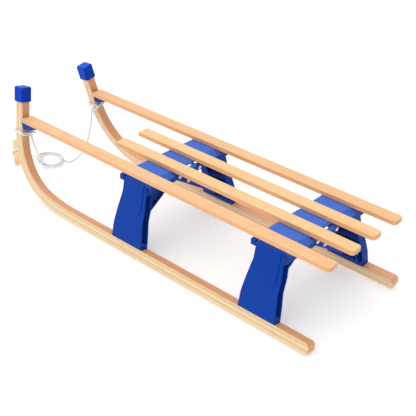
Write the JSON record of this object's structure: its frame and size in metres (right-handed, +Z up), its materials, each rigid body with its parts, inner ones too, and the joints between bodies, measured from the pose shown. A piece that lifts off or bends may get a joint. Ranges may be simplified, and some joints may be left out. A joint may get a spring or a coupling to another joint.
{
  "type": "wooden toboggan",
  "caption": "Wooden toboggan with bent laminated runners, a slatted deck, moulded legs with crossed braces and a pull cord with a wooden handle.",
  "frame": {"origin": "on the ground under the middle of the sled, measured without the pull cord", "axes": "+X towards the raised horns at the front, +Y to the sled's left, +Z up"},
  "size_m": [1.3052, 0.3754, 0.3086],
  "materials": {
    "laminated_beech": "clear satin varnish over laminated beech",
    "beech_slat": "clear satin varnish over planed beech",
    "turned_beech": "raw turned beech",
    "blue_plastic": "satin moulded polypropylene, royal blue",
    "black_plastic": "matte moulded nylon",
    "zinc_steel": "bright zinc plate",
    "white_cord": "braided polypropylene cord, white"
  },
  "bodies": {
    "root": {"left_runner": "laminated_beech", "right_runner": "laminated_beech", "left_outer_slat": "beech_slat", "left_inner_slat": "beech_slat", "right_inner_slat": "beech_slat", "right_outer_slat": "beech_slat", "left_horn_cap": "blue_plastic", "right_horn_cap": "blue_plastic", "front_crossbar": "blue_plastic", "rear_crossbar": "blue_plastic", "front_left_leg": "blue_plastic", "front_right_leg": "blue_plastic", "rear_left_leg": "blue_plastic", "rear_right_leg": "blue_plastic", "front_left_brace": "blue_plastic", "front_right_brace": "blue_plastic", "rear_left_brace": "blue_plastic", "rear_right_brace": "blue_plastic", "left_slat_bracket": "blue_plastic", "right_slat_bracket": "blue_plastic", "front_left_rod": "zinc_steel", "front_right_rod": "zinc_steel", "rear_left_rod": "zinc_steel", "rear_right_rod": "zinc_steel", "rod_caps": "zinc_steel", "brace_pins": "zinc_steel", "leg_pins": "zinc_steel", "crossing_bolts": "zinc_steel", "crossing_washers": "zinc_steel", "crossing_spacers": "black_plastic", "crossing_nuts": "zinc_steel", "front_slat_screws": "zinc_steel", "rear_slat_screws": "zinc_steel", "left_leg_screws": "zinc_steel", "right_leg_screws": "zinc_steel", "bracket_screws": "zinc_steel", "cord_left_wrap": "white_cord", "cord_right_wrap": "white_cord", "cord_left_lead": "white_cord", "cord_right_lead": "white_cord", "cord_coil": "white_cord", "cord_handle_out": "white_cord", "cord_handle_back": "white_cord", "cord_handle_wrap": "white_cord", "pull_handle": "turned_beech"}
  },
  "joints": []
}
